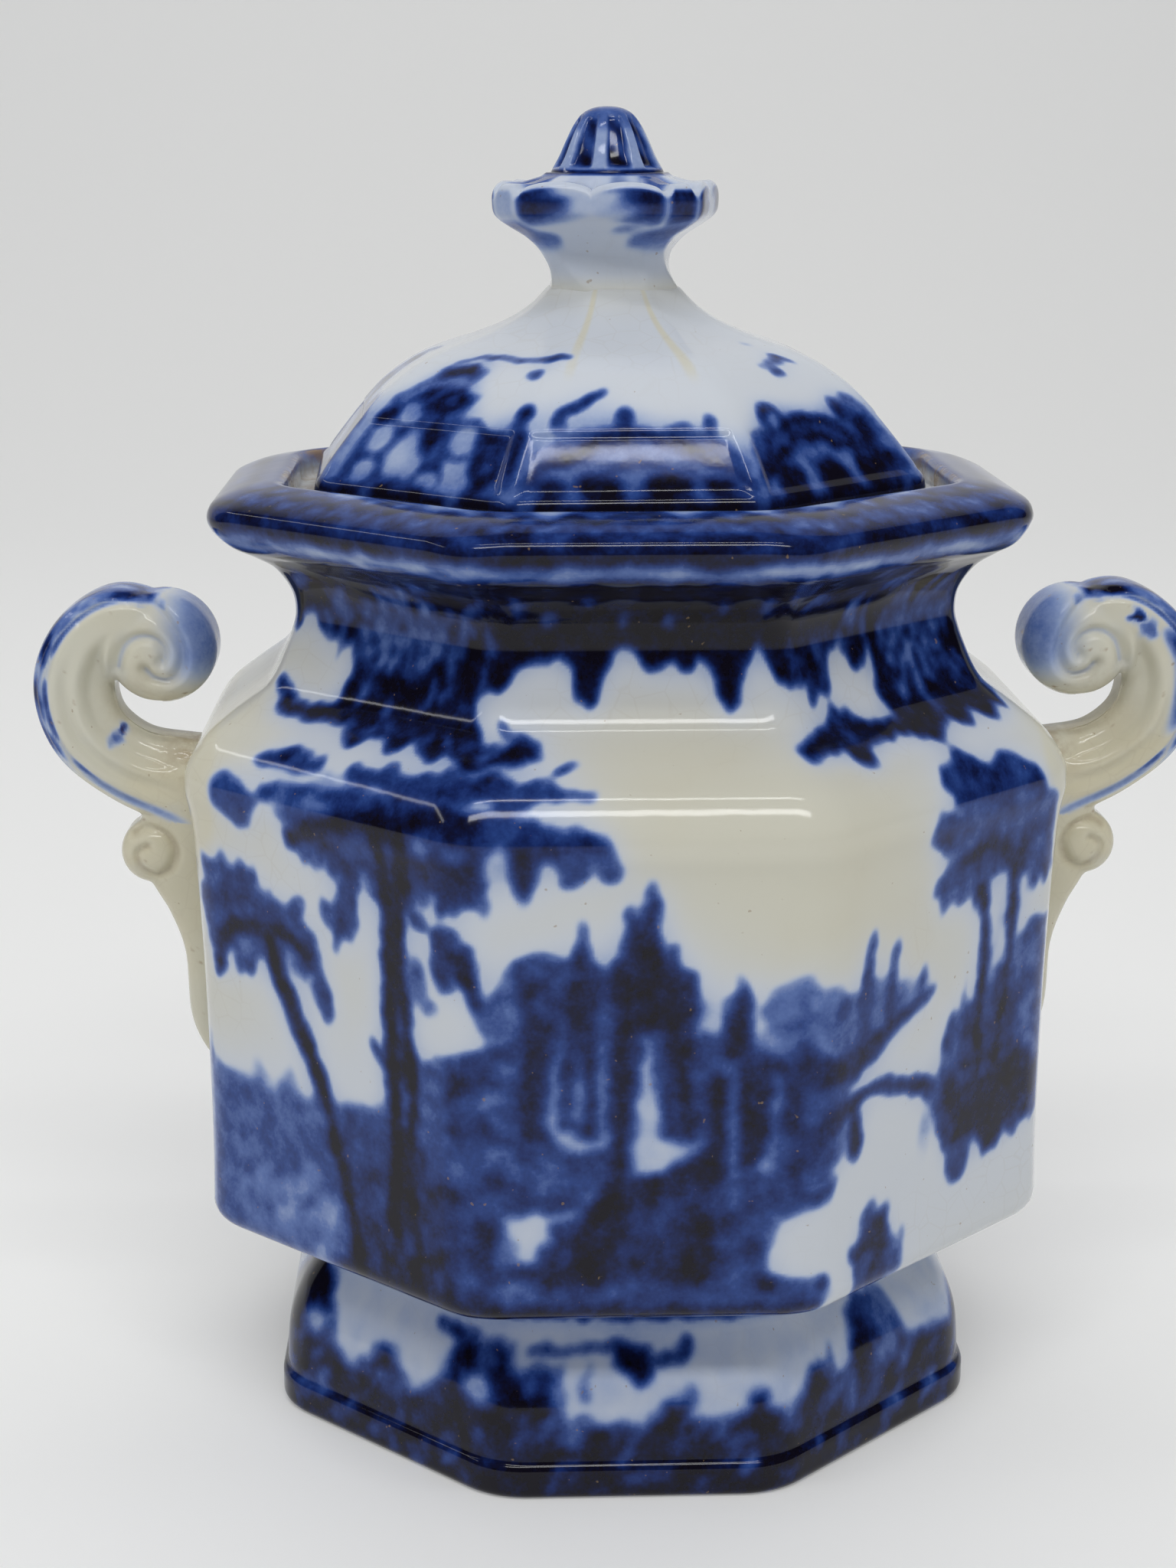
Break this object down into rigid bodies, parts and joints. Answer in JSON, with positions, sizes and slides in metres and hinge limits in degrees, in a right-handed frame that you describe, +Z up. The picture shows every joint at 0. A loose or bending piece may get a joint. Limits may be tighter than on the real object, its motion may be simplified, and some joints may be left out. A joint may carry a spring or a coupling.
{
  "type": "sugar bowl",
  "caption": "Octagonal glazed sugar bowl with scroll side handles, a flared foot and a loose domed lid with a knob finial, for storing and serving sugar.",
  "frame": {"origin": "centre of the foot's resting face, at the bottom of the bowl", "axes": "+Z up through the finial, X through the two handles, -Y out of the flat front panel"},
  "size_m": [0.1852, 0.1294, 0.2028],
  "materials": {
    "bowl_body": "glossy glaze over blurred cobalt transfer print",
    "pedestal_foot": "glossy glaze over blurred cobalt transfer print",
    "handle_left": "glossy cream glaze",
    "handle_right": "glossy cream glaze",
    "lid": "glossy glaze over blurred cobalt transfer print",
    "finial": "glossy glaze with cobalt pooled in the recesses"
  },
  "bodies": {
    "bowl": {"bowl_body": "bowl_body", "pedestal_foot": "pedestal_foot", "handle_left": "handle_left", "handle_right": "handle_right"},
    "lid": {"lid": "lid", "finial": "finial"}
  },
  "joints": [
    {"name": "lid_lift", "type": "slide", "parent": "bowl", "child": "lid", "axis": [0, 0, 1], "range_m": [0, 0.06]}
  ]
}
